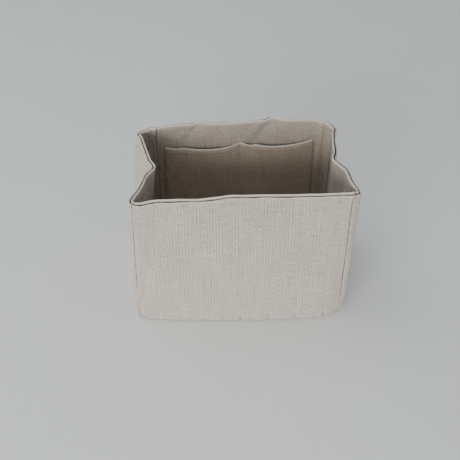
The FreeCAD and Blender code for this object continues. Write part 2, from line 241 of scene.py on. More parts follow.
# Kinks of the rim: the place round the foot, how far it stands out and up there, its half width, how far
# down it fades, and how far it slants along the wall for each millimetre down.
KINKS = [
    (PLACES[STARTS["back"] + 3] - 11.0, 4.8, 1.4, 10.0, 20.0, 0.75),
    (PLACES[STARTS["back"] + 3] - 2.0, -1.8, -0.4, 7.0, 24.0, 0.85),
    (PLACES[STARTS["back"] + 5] + 12.0, 3.0, 1.1, 9.0, 18.0, 0.8),
    (PLACES[STARTS["back"] + 5] + 21.0, -1.4, -0.3, 7.0, 24.0, 0.9),
    (PLACES[STARTS["left"] - 2] + 2.0, -1.2, -0.1, 3.6, 70.0, -0.16),
    (PLACES[STARTS["left"] - 1] - 2.0, -1.0, -0.1, 3.4, 60.0, -0.5),
    (PLACES[STARTS["left"] - 1] - 8.0, 1.2, 0.2, 3.5, 34.0, -0.3),
    (PLACES[STARTS["back"]] + 9.0, -1.6, 0.0, 3.2, 70.0, 0.05),
    (PLACES[STARTS["back"]] + 2.5, 1.4, 0.0, 3.4, 60.0, 0.05),
    (FRONT_RIGHT - 1.0, 2.4, 1.6, 2.6, 5.0, 0.0),
    (FRONT_RIGHT - 6.0, -0.9, -0.5, 2.6, 8.0, 0.0),
    (FRONT_LEFT + 6.0, -1.1, -0.6, 2.2, 7.0, 0.3),
    (FRONT_LEFT + 11.0, 0.8, 0.4, 2.4, 7.0, 0.3),
    (ROUND - 4.0, -1.0, 0.5, 2.0, 7.0, 0.0),
]
# Where the filled walls bow out at mid height: the place round the foot, how far, and the half width.
BULGES = [
    (PLACES[STARTS["left"]] + 22.0, 9.0, 44.0), (PLACES[STARTS["right"] + 9], 2.0, 30.0),
    (PLACES[STARTS["back"] + 4], 3.0, 80.0),
]
# Tucks where the front panel is eased into the base seam: the place along it and how deep.
TUCKS = [(127.5, 3.4), (162.0, 2.6), (232.0, 3.0), (84.0, 1.1), (46.0, 0.9), (196.0, 1.2)]
TUCK_WIDTH = 1.9
TUCK_MIDDLE = 4.0
TUCK_HEIGHT = 6.0


def away_round(places, centre):
    """Signed distance round the ring from a centre."""
    return (places - centre + ROUND / 2) % ROUND - ROUND / 2


def hump(places, centre, width):
    """A soft hump along the ring: 1 at its centre, fading over its half width."""
    return np.exp(-((away_round(places, centre) / width) ** 2))


# the share of a climb that is the foot's round edge
ROUND_ARC = math.pi / 2 * FOOT_ROUND
ROUND_SHARE = ROUND_ARC / (ROUND_ARC + HEIGHT - FOOT_ROUND)


def wall(places, climbs):
    """The wall's outside, at distances round the foot and climbs from 0 at the base seam to 1 at the rim."""
    places, climbs = np.broadcast_arrays(np.asarray(places, float), np.asarray(climbs, float))
    values = ring(places)
    foot, rim, top = values[..., 0:2], values[..., 2:4], HEIGHT + values[..., 4]
    turn = np.clip(climbs / ROUND_SHARE, 0, 1) * math.pi / 2
    straight = np.clip((climbs - ROUND_SHARE) / (1 - ROUND_SHARE), 0, 1)
    height = np.where(
        climbs < ROUND_SHARE, FOOT_ROUND * (1 - np.cos(turn)), FOOT_ROUND + (top - FOOT_ROUND) * straight
    )
    inset = FOOT_ROUND * (1 - np.sin(turn))
    # the foot is rounder at the four corners
    for corner in SEAMS.values():
        soft = hump(places, corner, CORNER_WIDTH)
        inset = inset + CORNER_SOFT * soft * (1 - smooth(height / CORNER_HEIGHT))
    core_half = np.array([HALF_WIDTH - CORE_INSET, HALF_DEPTH - CORE_INSET])
    core = np.clip(foot, -core_half, core_half)
    away = foot - core
    reach = np.linalg.norm(away, axis=-1, keepdims=True)
    flat = np.abs(away).max(axis=-1, keepdims=True)
    away = away / reach
    # the foot's corners are round near the base and square up towards the rim
    square = smooth(height / SQUARED_HEIGHT)[..., None]
    foot = core + away * (flat + (reach - flat) * (CORNER_SHARE + (1 - CORNER_SHARE) * square))
    share = (height / top)[..., None]
    plan = foot + (rim - foot) * share**WALL_LEAN - away * inset[..., None]
    below = np.maximum(top - height, 0)
    out, lift = 0.0, 0.0
    for centre, stand, rise, width, fade, slant in KINKS:
        near = hump(places, centre + slant * below, width) * np.exp(-below / fade)
        out, lift = out + stand * near, lift + rise * near * np.exp(-below / KINK_LIFT_FADE)
    bow = np.sin(math.pi * np.clip(height / top, 0, 1) ** 0.9)
    for centre, stand, width in BULGES:
        out = out + stand * bow * hump(places, centre, width)
    for centre, deep in TUCKS:
        low_down = np.exp(-(((height - TUCK_MIDDLE) / TUCK_HEIGHT) ** 2))
        out = out - deep * hump(places, centre, TUCK_WIDTH) * low_down
    plan = plan + away * out[..., None]
    return np.concatenate([plan, (height + lift)[..., None]], axis=-1)


def outward(places, climbs):
    """The wall's outward direction, taken over a few millimetres so that folds stay soft."""
    reach, lift = 1.2, 0.008
    along = wall(places + reach, climbs) - wall(places - reach, climbs)
    up = wall(places, np.minimum(climbs + lift, 1)) - wall(places, np.maximum(climbs - lift, 0))
    normal = np.cross(along, up)
    return normal / np.linalg.norm(normal, axis=-1, keepdims=True)


def in_wall(places, climbs, depth):
    """A point at a depth in from the wall's outside."""
    return wall(places, climbs) - outward(places, climbs) * np.asarray(depth)[..., None]


def climb_at(height):
    """The climb of a height above the base, on a wall of the front's height."""
    height = np.asarray(height, float)
    low = np.arccos(np.clip(1 - height / FOOT_ROUND, -1, 1)) / (math.pi / 2) * ROUND_SHARE
    high = ROUND_SHARE + (height - FOOT_ROUND) / (HEIGHT - FOOT_ROUND) * (1 - ROUND_SHARE)
    return np.where(height < FOOT_ROUND, low, high)


def back_place(across):
    """The distance round the foot of a place along the back wall."""
    first = STARTS["back"]
    stations = RING_VALUES[first:STARTS["left"]]
    middle = (stations[:, 0] + stations[:, 2]) / 2
    return np.interp(-np.asarray(across, float), -middle, PLACES[first:STARTS["left"]])


def seam_roll(places, ends, roll=1.5, deep=2.1):
    """How far a ply's face turns in where it meets a seam at either end."""
    near = np.minimum(np.abs(places - ends[0]), np.abs(places - ends[1]))
    gone = np.clip(1 - near / roll, 0, 1)
    return deep * (1 - np.sqrt(1 - gone**2))


def rib(places, height):
    """The cloth's upright ribs: a little uneven in their pitch and strength."""
    stray = 1.1 * waves(places, height * 0.05, 5, 22)
    strength = 1 + 0.7 * waves(places, height * 0.15, 6, 30)
    return RIB_RELIEF * strength * np.cos(2 * math.pi * (places + stray) / RIB_PITCH)


# ---------------------------------------------------------------- meshes


def finish_mesh(piece_name, points, faces, uvs, material, painted_light=None):
    """A smooth-shaded mesh object from points in millimetres, with one uv per point in metres."""
    faces = np.asarray(faces, dtype=np.int32)
    mesh = bpy.data.meshes.new(piece_name)
    mesh.vertices.add(len(points))
    mesh.vertices.foreach_set("co", (np.asarray(points) * MM).astype(np.float32).ravel())
    mesh.loops.add(faces.size)
    mesh.loops.foreach_set("vertex_index", faces.ravel())
    mesh.polygons.add(len(faces))
    mesh.polygons.foreach_set("loop_start", np.arange(0, faces.size, faces.shape[1], dtype=np.int32))
    mesh.polygons.foreach_set("use_smooth", np.ones(len(faces), bool))
    layer = mesh.uv_layers.new(name="cloth")
    layer.data.foreach_set("uv", (np.asarray(uvs)[faces.ravel()] * MM).astype(np.float32).ravel())
    painted_light_value = mesh.attributes.new("painted_light", "FLOAT", "POINT")
    painted_light = np.zeros(len(points)) if painted_light is None else painted_light
    painted_light_value.data.foreach_set("value", np.asarray(painted_light, np.float32))
    mesh.materials.append(material)
    mesh.update(calc_edges=True)
    mesh.validate()
    piece = bpy.data.objects.new(piece_name, mesh)
    bpy.context.scene.collection.objects.link(piece)
    return piece


def grid_faces(rows, columns):
    """The quads of a grid of points, row by row."""
    index = np.arange(rows * columns).reshape(rows, columns)
    corners = (index[:-1, :-1], index[:-1, 1:], index[1:, 1:], index[1:, :-1])
    return np.stack(corners, axis=-1).reshape(-1, 4)


def thick_sheet(piece_name, face, back, material, tops, uv, painted_light, back_painted_light, turned=False):
    """A closed sheet between two skins of the same grid, with a rounded top between them."""
    columns = face.shape[1]
    loop = np.concatenate([face, tops, back[::-1]], axis=0)
    total = loop.shape[0]
    index = np.arange(total * columns).reshape(total, columns)
    faces = [grid_faces(total, columns)]
    faces.append(np.stack([index[-1, :-1], index[-1, 1:], index[0, 1:], index[0, :-1]], axis=-1))
    half = total // 2
    for column, swap in ((0, False), (columns - 1, True)):
        near, far = index[:half, column], index[::-1, column][:half]
        cap = np.stack([near[:-1], near[1:], far[1:], far[:-1]], axis=-1)
        faces.append(cap[:, ::-1] if swap else cap)
    faces = np.concatenate(faces)
    if turned:
        faces = faces[:, ::-1]
    uvs = np.concatenate([uv, np.repeat(uv[-1:], len(tops), axis=0), uv[::-1]]).reshape(-1, 2)
    # painted light per point: above 0 a painted highlight on the rim's crown, below 0 painted shade on the
    # back skin
    painted_lights = np.concatenate([painted_light, np.repeat(painted_light[-1:], len(tops), axis=0), back_painted_light[::-1]]).ravel()
    return finish_mesh(piece_name, loop.reshape(-1, 3), faces, uvs, material, painted_lights)


def rounded_top(places, face_depth, back_depth, rim_climb, steps=7):
    """Rows that roll over the rim from a ply's face to its back, as a half round."""
    middle, radius = (face_depth + back_depth) / 2, (back_depth - face_depth) / 2
    rim, normal = wall(places, rim_climb), outward(places, rim_climb)
    rows = []
    for step in range(1, steps):
        turn = math.pi * step / steps
        depth = middle - radius * math.cos(turn)
        point = rim - normal * depth[:, None]
        point[:, 2] += np.abs(radius) * math.sin(turn)
        rows.append(point)
    return np.array(rows)


def columns_between(start, end):
    """Places across a panel, with a few more close to its seams."""
    count = max(8, int(round((end - start) / COLUMN)))
    close = np.array([0.12, 0.3, 0.55, 0.85, 1.2])
    even = np.linspace(start, end, count + 1)[2:-2]
    return np.concatenate([[start], start + close, even, end - close[::-1], [end]])


def wall_rows():
    """Climbs from the base seam to the rim, close together round the foot."""
    foot = np.linspace(0, ROUND_SHARE, 9)[:-1]
    count = int(round((1 - ROUND_SHARE) * HEIGHT / ROW))
    return np.concatenate([foot, np.linspace(ROUND_SHARE, 1, count + 1)])


def cloth_sheet(piece_name, ends, depths, edge, swell, material, seams=(True, True)):
    """One ply of cloth from the base seam to the rim: a closed sheet between two depths in from the
    wall's outside, thickening to its turned hem's depths at the rim. Its seen skin comes first in each
    pair of depths, and seams says which of its ends is sewn rather than folded."""
    places, climbs = np.meshgrid(columns_between(*ends), wall_rows())
    hem = smooth((climbs - (1 - HEM_DEEP / HEIGHT)) * HEIGHT / HEM_EASE)
    outside = depths[0] < depths[1]
    sense = 1 if outside else -1
    sewn = (ends[0] if seams[0] else -FAR_AWAY, ends[1] if seams[1] else FAR_AWAY)
    face = depths[0] + (edge[0] - depths[0]) * hem
    back = depths[1] + (edge[1] - depths[1]) * hem
    thick = np.abs(back - face)
    relief = swell(places, climbs) - seam_roll(places, sewn)
    face = face - sense * relief
    back = face + sense * np.minimum(thick, 0.35 + 0.8 * thick)
    skin, inner = in_wall(places, climbs, face), in_wall(places, climbs, back)
    crown = rounded_top(places[-1], face[-1], back[-1], climbs[-1])
    # the rim's step between lining and outer cloth is full on the front and slight elsewhere
    rim_places = places[-1]
    past_front = -np.minimum(away_round(rim_places, FRONT_LEFT), away_round(FRONT_RIGHT, rim_places))
    past_front = np.maximum(0, past_front)
    shift = (-OUTER_DROP if outside else LINING_LIFT) * (1 - 0.75 * smooth(past_front / RIM_STEP_FADE))
    shift = shift + 0.25 * waves(rim_places, 0 * rim_places, 77 if outside else 78, 16)
    for layer in (skin, inner):
        layer[..., 2] += shift * smooth((climbs - RIM_STEP_START) / (1 - RIM_STEP_START))
    crown[..., 2] += shift
    uv = np.stack([places, wall(places, climbs)[..., 2]], axis=-1)
    # painted light: the rim's crown is painted paler as a painted highlight, a band along each sewn seam is
    # painted dark as painted shade, and the back skin below the crown is painted dark as shade in the rim's
    # groove
    near = np.minimum(np.abs(places - sewn[0]), np.abs(places - sewn[1]))
    painted_light_value = smooth((climbs - RIM_PAINTED_LIGHT_START) / 0.012) * (0.45 if outside else 1.0)
    painted_light_value = painted_light_value - np.clip(1 - near / SEAM_PAINTED_SHADE, 0, 1)
    back_painted_light = np.where(climbs == 1, painted_light_value, -1.0)
    return thick_sheet(piece_name, skin, inner, material, crown, uv, painted_light_value, back_painted_light, not outside)


def pad_solid(piece_name, ends, material, swell):
    """The padding between the plies: a soft slab from the base to a little under the rim."""
    climbs = wall_rows()[::2] * (1 - PADDING_DROP / HEIGHT)
    places, climbs = np.meshgrid(columns_between(ends[0] + 0.8, ends[1] - 0.8)[::2], climbs)
    face = PADDING[0] - np.minimum(swell(places, climbs), 0)
    back = np.full(face.shape, PADDING[1])
    skin, inner = in_wall(places, climbs, face), in_wall(places, climbs, back)
    crown = rounded_top(places[-1], face[-1], back[-1], climbs[-1])
    uv = np.stack([places, climbs * HEIGHT], axis=-1)
    return thick_sheet(piece_name, skin, inner, material, crown, uv, 0 * places, 0 * places)


def base_solid(piece_name, heights, inset, material, uneven=0.1):
    """A flat ply of the base inside the walls' foot, between two heights, as rings round its middle."""
    low, high = heights
    places = np.linspace(0, ROUND, 360, endpoint=False)
    outline = wall(places, np.zeros(360))[:, :2]
    core = np.clip(outline, -BASE_CORE, BASE_CORE)
    away = (outline - core) / np.linalg.norm(outline - core, axis=1, keepdims=True)
    edge = outline - away * inset
    round_over = (high - low) / 2
    shares = np.concatenate([[1.0, 0.998, 0.994, 0.985], np.linspace(0.96, 0.04, 38)])
    layers = []
    for sign, order in ((1, shares), (-1, shares[::-1])):
        for share in order:
            gone = np.clip(1 - (1 - share) / 0.006, 0, 1)
            bow = waves(edge[:, 0] * share, edge[:, 1] * share, 3, 46) * uneven * (1 - gone)
            height = (low + high) / 2 + sign * round_over * np.sqrt(1 - min(gone, 0.98) ** 2) + bow
            height = np.maximum(height, 0.0) if low <= 0 else height
            layers.append(np.column_stack([edge * share, height]))
    layers = layers[: len(shares)][::-1] + layers[len(shares):][::-1]
    grid = np.array(layers)
    rows, columns = grid.shape[:2]
    index = np.arange(rows * columns).reshape(rows, columns)
    index = np.concatenate([index, index[:, :1]], axis=1)
    faces = np.stack([index[:-1, :-1], index[1:, :-1], index[1:, 1:], index[:-1, 1:]], axis=-1)
    points = np.concatenate([grid.reshape(-1, 3), grid[0].mean(0)[None], grid[-1].mean(0)[None]])
    pairs = np.arange(0, columns, 2)
    first, last = index[0], index[-1]
    top, bottom = np.full(len(pairs), rows * columns), np.full(len(pairs), rows * columns + 1)
    cap_top = np.stack([first[pairs], first[pairs + 1], first[pairs + 2], top], axis=-1)
    cap_low = np.stack([last[pairs + 2], last[pairs + 1], last[pairs], bottom], axis=-1)
    faces = np.concatenate([faces.reshape(-1, 4), cap_top, cap_low])
    return finish_mesh(piece_name, points, faces, points[:, :2], material)


# a stitch's outline: shares of its length and of its radius
STITCH_PROFILE = [
    (0.0, 0.05), (0.04, 0.62), (0.12, 0.92), (0.3, 1.0), (0.7, 1.0), (0.88, 0.92), (0.96, 0.62), (1.0, 0.05),
]


def helper_axis(axis):
    """A direction well away from an axis."""
    return np.array([0.0, 0.0, 1.0]) if abs(axis[2]) < 0.8 else np.array([0.0, 1.0, 0.0])


def cap_quads(ring_index):
    """Quads that close a tube's end."""
    first = ring_index[0]
    return [
        (first, ring_index[turn + 1], ring_index[turn + 2], ring_index[(turn + 3) % THREAD_SIDES])
        for turn in range(0, THREAD_SIDES - 2, 2)
    ]


def capsules(piece_name, starts, ends, radius, material):
    """Separate stitches as one mesh: a slim round-ended capsule from each start to each end."""
    starts, ends = np.asarray(starts, float), np.asarray(ends, float)
    ring_turns = np.linspace(0, 2 * math.pi, THREAD_SIDES, endpoint=False)
    points, faces, uvs = [], [], []
    for start, end in zip(starts, ends):
        axis = end - start
        length = np.linalg.norm(axis)
        axis = axis / length
        side = np.cross(axis, helper_axis(axis))
        side /= np.linalg.norm(side)
        other = np.cross(axis, side)
        first = len(points) * THREAD_SIDES
        for share, swell in STITCH_PROFILE:
            middle = start + axis * length * share
            circle = np.cos(ring_turns)[:, None] * side + np.sin(ring_turns)[:, None] * other
            points.append(middle + circle * radius * swell)
            uvs.append(np.column_stack([ring_turns * radius, np.full(THREAD_SIDES, share * length)]))
        for level in range(len(STITCH_PROFILE) - 1):
            start_index = first + level * THREAD_SIDES
            for turn in range(THREAD_SIDES):
                near, far = start_index + turn, start_index + (turn + 1) % THREAD_SIDES
                faces.append((near, near + THREAD_SIDES, far + THREAD_SIDES, far))
        last = first + (len(STITCH_PROFILE) - 1) * THREAD_SIDES
        faces.extend(cap_quads(range(first, first + THREAD_SIDES)))
        faces.extend(quad[::-1] for quad in cap_quads(range(last, last + THREAD_SIDES)))
    return finish_mesh(piece_name, np.concatenate(points), np.array(faces), np.concatenate(uvs), material)


def stitched(points):
    """Start and end points of whole stitches laid along a curve of points."""
    points = np.asarray(points, float)
    reach = np.concatenate([[0], np.cumsum(np.linalg.norm(np.diff(points, axis=0), axis=1))])
    count = int(reach[-1] // STITCH_PITCH)
    spare = (reach[-1] - count * STITCH_PITCH) / 2
    begin = spare + np.arange(count) * STITCH_PITCH + (STITCH_PITCH - STITCH) / 2

    def at(where):
        return np.column_stack([np.interp(where, reach, points[:, axis]) for axis in range(3)])

    return at(begin), at(begin + STITCH)


def cord_run(piece_name, points, radius, material):
    """One unbroken run of seam thread along a curve of points."""
    points = np.asarray(points, float)
    along = np.gradient(points, axis=0)
    along /= np.linalg.norm(along, axis=1, keepdims=True)
    side = np.cross(along, helper_axis(along[0]))
    side /= np.linalg.norm(side, axis=1, keepdims=True)
    other = np.cross(along, side)
    turns = np.linspace(0, 2 * math.pi, THREAD_SIDES, endpoint=False)
    swell = np.full(len(points), radius)
    swell[[0, -1]] *= 0.3
    tube = points[:, None] + swell[:, None, None] * (
        np.cos(turns)[None, :, None] * side[:, None] + np.sin(turns)[None, :, None] * other[:, None]
    )
    index = np.arange(len(points) * THREAD_SIDES).reshape(-1, THREAD_SIDES)
    index = np.concatenate([index, index[:, :1]], axis=1)
    faces = np.stack([index[:-1, :-1], index[1:, :-1], index[1:, 1:], index[:-1, 1:]], axis=-1)
    caps = cap_quads(index[0]) + [quad[::-1] for quad in cap_quads(index[-1])]
    faces = np.concatenate([faces.reshape(-1, 4), caps])
    uv = np.zeros((len(points) * THREAD_SIDES, 2))
    return finish_mesh(piece_name, tube.reshape(-1, 3), faces, uv, material)


# ---------------------------------------------------------------- materials

# the paler colours painted on rims and on the pocket's hem as a painted highlight, and the dark colour of
# painted shade
HEM = (0.74, 0.68, 0.61)
POCKET_HEM = (0.70, 0.63, 0.54)
PAINTED_SHADE_TONE = (0.060, 0.056, 0.050)
WEAVE_PITCH = 0.9


def node_maker(tree):
    """A function that adds a shader node, with links or constants on its sockets."""
    def make(kind, inputs=(), **settings):
        node = tree.nodes.new("ShaderNode" + kind)
        for key, value in settings.items():
            setattr(node, key, value)
        for socket, value in dict(inputs).items():
            if isinstance(value, bpy.types.NodeSocket):
                tree.links.new(value, node.inputs[socket])
            else:
                node.inputs[socket].default_value = value
        return node

    return make


def canvas(label, pale, deep, hem=None, rib=0.5, patch=0.5, bump=0.6, sheen=0.2, fade=0.0):
    """Coarse linen-look cloth: a plain weave with upright slubs and ribs and soft patches of tone. Its rims
    and hems are painted paler as a painted highlight, its seams and ply backs darker as painted shade, and
    fade paints it lighter towards its foot and darker towards its top as painted light."""
    material = bpy.data.materials.new(label)
    material.use_nodes = True
    tree = material.node_tree
    make = node_maker(tree)
    shader = tree.nodes["Principled BSDF"]
    place = make("UVMap", uv_map="cloth").outputs["UV"]

    def maths(kind, first, second):
        return make("Math", {0: first, 1: second}, operation=kind).outputs[0]

    def centred(across, up, weight, detail=3.0, rough=0.55):
        stretched = make("VectorMath", {0: place, 1: (across, up, 1)}, operation="MULTIPLY")
        inputs = {
            "Vector": stretched.outputs["Vector"], "Scale": 1.0, "Detail": detail, "Roughness": rough,
        }
        fac = make("TexNoise", inputs).outputs["Fac"]
        return maths("MULTIPLY", maths("SUBTRACT", fac, 0.5), weight)

    def threads(axis, pitch, stray):
        moved = maths("ADD", split.outputs[axis], stray)
        return maths("SINE", maths("MULTIPLY", moved, 2000 * math.pi / pitch), 0)

    def total(*parts):
        value = parts[0]
        for part in parts[1:]:
            value = maths("ADD", value, part)
        return value

    def mixed(factor, first, second, blend="MIX"):
        node = make("Mix", data_type="RGBA", blend_type=blend)
        for place_in, value in (("Factor", factor), (6, first), (7, second)):
            socket = node.inputs[place_in]
            if isinstance(value, bpy.types.NodeSocket):
                tree.links.new(value, socket)
            else:
                socket.default_value = value
        return node.outputs[2]

    # the ribs' unevenness, then the plain weave's two threads, and noise stretched along or across them
    split = make("SeparateXYZ", {0: place})
    strength = maths("ADD", centred(90, 14, 2.2), 0.5)
    line = maths("MAXIMUM", threads("X", RIB_PITCH, centred(70, 5, 0.0022)), 0)
    rib_tone = maths("MULTIPLY", maths("SUBTRACT", 0.35, maths("POWER", line, 2)), strength)
    warp = threads("X", WEAVE_PITCH, centred(300, 60, 0.0009))
    weft = threads("Y", WEAVE_PITCH, centred(50, 300, 0.0009))
    weave = maths("MULTIPLY", warp, weft)
    slub = centred(620, 24, 1.0, 5.0, 0.7)
    speck = centred(640, 260, 1.0, 3.0, 0.75)
    streak = centred(240, 9, 1.0, 3.0, 0.6)
    cross = centred(40, 700, 1.0, 4.0, 0.65)
    grid = maths("MULTIPLY", threads("Y", 2.3, centred(40, 60, 0.0016)), centred(28, 30, 1.6))
    # the painted light attribute: above 0 a painted highlight on a rim or hem, below 0 painted shade on a
    # ply's back, along a seam or behind the pocket
    painted_light_value = make("Attribute", attribute_name="painted_light").outputs["Fac"]
    # the fade term paints the cloth lighter towards its foot and darker towards its top: painted light
    tone = total(
        maths("MULTIPLY", rib_tone, 0.44 * rib), maths("MULTIPLY", slub, 0.75),
        maths("MULTIPLY", streak, 0.25), maths("MULTIPLY", cross, 0.7),
        maths("MULTIPLY", speck, 1.6), maths("MULTIPLY", grid, 0.55 * rib),
        maths("MULTIPLY", maths("SUBTRACT", 0.09, split.outputs["Y"]), fade),
        centred(24, 16, 0.8 * patch), 0.5,
    )
    ramp = make("ValToRGB", {0: tone})
    ramp.color_ramp.elements[0].color = (*deep, 1)
    ramp.color_ramp.elements[1].color = (*pale, 1)
    tint = make("ValToRGB", {0: maths("ADD", centred(30, 22, 1.0, 2.0), 0.5)})
    tint.color_ramp.elements[0].position, tint.color_ramp.elements[1].position = 0.38, 0.62
    tint.color_ramp.elements[0].color = (1.0, 0.965, 0.945, 1)
    tint.color_ramp.elements[1].color = (0.955, 0.98, 1.0, 1)
    cloth = mixed(min(1.0, patch), ramp.outputs["Color"], tint.outputs["Color"], "MULTIPLY")
    # a painted highlight towards the paler hem colour
    edge = maths("MULTIPLY", maths("MAXIMUM", painted_light_value, 0), 0.85 if hem else 0.3)
    cloth = mixed(edge, cloth, (*(hem or pale), 1))
    # painted shade towards the dark shade colour
    painted_shade = maths("MULTIPLY", maths("MINIMUM", painted_light_value, 0), -0.72)
    cloth = mixed(painted_shade, cloth, (*PAINTED_SHADE_TONE, 1))
    tree.links.new(cloth, shader.inputs["Base Color"])
    height = total(
        maths("MULTIPLY", weave, 0.25), maths("MULTIPLY", slub, 1.2), maths("MULTIPLY", cross, 0.6),
        maths("MULTIPLY", rib_tone, 0.5 * rib),
    )
    relief = make("Bump", {"Height": height, "Strength": bump, "Distance": 0.0004})
    tree.links.new(relief.outputs["Normal"], shader.inputs["Normal"])
    shader.inputs["Roughness"].default_value = 0.92
    shader.inputs["Specular IOR Level"].default_value = 0.25
    shader.inputs["Sheen Weight"].default_value = sheen
    shader.inputs["Sheen Roughness"].default_value = 0.6
    return material


# the outer cloth's fade paints it lighter towards its foot and darker towards its top as painted light
OUTER_CLOTH = canvas(
    "canvas_outer", (0.754, 0.677, 0.594), (0.286, 0.248, 0.206), HEM, rib=1.0, patch=0.32, fade=0.9
)
# the lining's colours are darker than the outer cloth's as painted shade for the inside of the box
LINING_CLOTH = canvas(
    "canvas_lining", (0.572, 0.500, 0.422), (0.245, 0.205, 0.165), HEM, rib=0.4, patch=0.4
)
POCKET_CLOTH = canvas(
    "canvas_pocket", (0.545, 0.458, 0.362), (0.262, 0.210, 0.158), POCKET_HEM, rib=0.4, patch=0.4
)
PALE_THREAD = canvas("thread_pale", (0.66, 0.60, 0.52), (0.50, 0.45, 0.38), rib=0.0, patch=0.1, bump=0.3)
PADDING_STUFF = canvas("padding", (0.36, 0.35, 0.33), (0.24, 0.23, 0.22), rib=0.0, patch=0.2, bump=0.3)
BOARD_STUFF = canvas("board", (0.42, 0.38, 0.32), (0.30, 0.27, 0.22), rib=0.0, patch=0.2, bump=0.2, sheen=0.0)
THREAD_STUFF = canvas("thread", (0.50, 0.44, 0.37), (0.34, 0.29, 0.23), rib=0.0, patch=0.1, bump=0.3)


# ---------------------------------------------------------------- the bodies that pieces follow


def follow(piece, side=None):
    """Rides on the main body, or, for a gusset's leaf, stays in place with its transform applied."""
    if side is None:
        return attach(piece, "root")
    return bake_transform(piece)


# each gusset's two leaves, as their ends round the foot
HALVES = {
    "right": {"front": (FRONT_RIGHT, RIGHT_FOLD), "back": (RIGHT_FOLD, BACK_RIGHT)},
    "left": {"front": (LEFT_FOLD, ROUND), "back": (BACK_LEFT, LEFT_FOLD)},
}
LINING_HALVES = {
    "right": {"front": (FRONT_RIGHT, RIGHT_FOLD), "back": (RIGHT_FOLD, LINING_BACK_RIGHT)},
    "left": {"front": (LEFT_FOLD, ROUND), "back": (LINING_BACK_LEFT, LEFT_FOLD)},
}


def made_sheet(piece, node, side=None):
    """Holds a cloth piece as follow does and hides the imported part that it stands for."""
    follow(piece, side)
    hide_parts(node)


def made_padding(piece, node, side=None):
    """Holds a padding piece as follow does and hides the imported part that it stands for."""
    follow(piece, side)
    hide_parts(node)


# ---------------------------------------------------------------- the walls


def outer_swell(seed):
    """The outer cloth's unevenness: soft swells, ribs, puckers at the seams and ease at foot and hem."""
    def swell(places, climbs):
        height = climbs * HEIGHT
        soft = 0.38 * waves(places, height, seed, 46) + 0.16 * waves(places, height * 0.5, seed + 1, 17)
        seam = np.minimum.reduce([np.abs(away_round(places, place)) for place in SEAMS.values()])
        pucker = 0.22 * np.exp(-seam / 5) * waves(places * 0.3, height, seed + 2, 9)
        ease = 0.4 * np.exp(-height / 9) * smooth(height / 5) * waves(places, height * 0.4, seed + 3, 13)
        hem = 0.14 * np.exp(-(HEIGHT - height) / 6) * waves(places, height * 0.3, seed + 4, 11)
        ribs = rib(places, height) * smooth(height / 8)
        return soft * smooth(height / 12) + ribs + pucker * smooth(height / 6) + ease + hem

    return swell


def lining_swell(seed):
    """The lining's unevenness: soft swells that fade at the rim."""
    def swell(places, climbs):
        height = climbs * HEIGHT
        soft = 0.5 * waves(places, height * 0.5, seed, 34) + 0.2 * waves(places, height, seed + 1, 15)
        return soft * smooth((1 - climbs) / 0.05)

    return swell


def outer_sheet(piece_name, ends, seed, seams=(True, True)):
    return cloth_sheet(piece_name, ends, OUTER, OUTER_HEM, outer_swell(seed), OUTER_CLOTH, seams)


def lining_sheet(piece_name, ends, seed, seams=(True, True)):
    return cloth_sheet(
        piece_name, ends, LINING[::-1], LINING_HEM[::-1], lining_swell(seed), LINING_CLOTH, seams
    )


FRONT_SEED, BACK_SEED, LEFT_SEED, RIGHT_SEED = 11, 12, 30, 40
LINING_SEED_STEP, GUSSET_LINING_SEED_STEP = 10, 5

front = (FRONT_LEFT, FRONT_RIGHT)
back = (BACK_RIGHT, BACK_LEFT)
lining_back = (LINING_BACK_RIGHT, LINING_BACK_LEFT)

piece = outer_sheet("front_outer", front, FRONT_SEED)
made_sheet(piece, "outer_front_panel")
piece = outer_sheet("back_outer", back, BACK_SEED)
made_sheet(piece, "outer_back_panel")
piece = lining_sheet("front_lining", front, FRONT_SEED + LINING_SEED_STEP)
made_sheet(piece, "lining_front_panel")
piece = lining_sheet("back_lining", lining_back, BACK_SEED + LINING_SEED_STEP)
made_sheet(
    piece, "lining_back_panel"
)
made_padding(pad_solid("front_pad", front, PADDING_STUFF, outer_swell(FRONT_SEED)), "front_padding")
made_padding(pad_solid("back_pad", back, PADDING_STUFF, outer_swell(BACK_SEED)), "back_padding")

for side, halves in HALVES.items():
    seed = LEFT_SEED if side == "left" else RIGHT_SEED
    for half, ends in halves.items():
        # a half leaf is sewn at its corner and folded at the other end
        seams = (True, False) if (side == "right") == (half == "front") else (False, True)
        label = f"{side}_gusset_{half}"
        piece = outer_sheet(f"{label}_outer", ends, seed, seams)
        flat = (ends[1] - ends[0], FRONT_FLAT)
        made_sheet(piece, f"outer_{side}_gusset", side)
        lining_ends = LINING_HALVES[side][half]
        piece = lining_sheet(f"{label}_lining", lining_ends, seed + GUSSET_LINING_SEED_STEP, seams)
        flat = (lining_ends[1] - lining_ends[0], FRONT_FLAT)
        made_sheet(piece, f"lining_{side}_gusset", side)
        piece = pad_solid(f"{label}_pad", ends, PADDING_STUFF, outer_swell(seed))
        made_padding(piece, f"{side}_gusset_padding", side)

piece = base_solid("base_outer", BASE_OUTER, 0.7, OUTER_CLOTH)
made_sheet(piece, "outer_base_panel")
piece = base_solid("base_board", BASE_BOARD, 1.5, BOARD_STUFF, 0.0)
follow(piece)
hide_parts("base_board")
piece = base_solid("base_lining", BASE_LINING, 0.7, LINING_CLOTH, 0.25)
made_sheet(piece, "lining_base_panel")


# ---------------------------------------------------------------- the pockets

POCKET_LEFT, DIVIDER, POCKET_RIGHT = -94.0, 5.6, 104.0
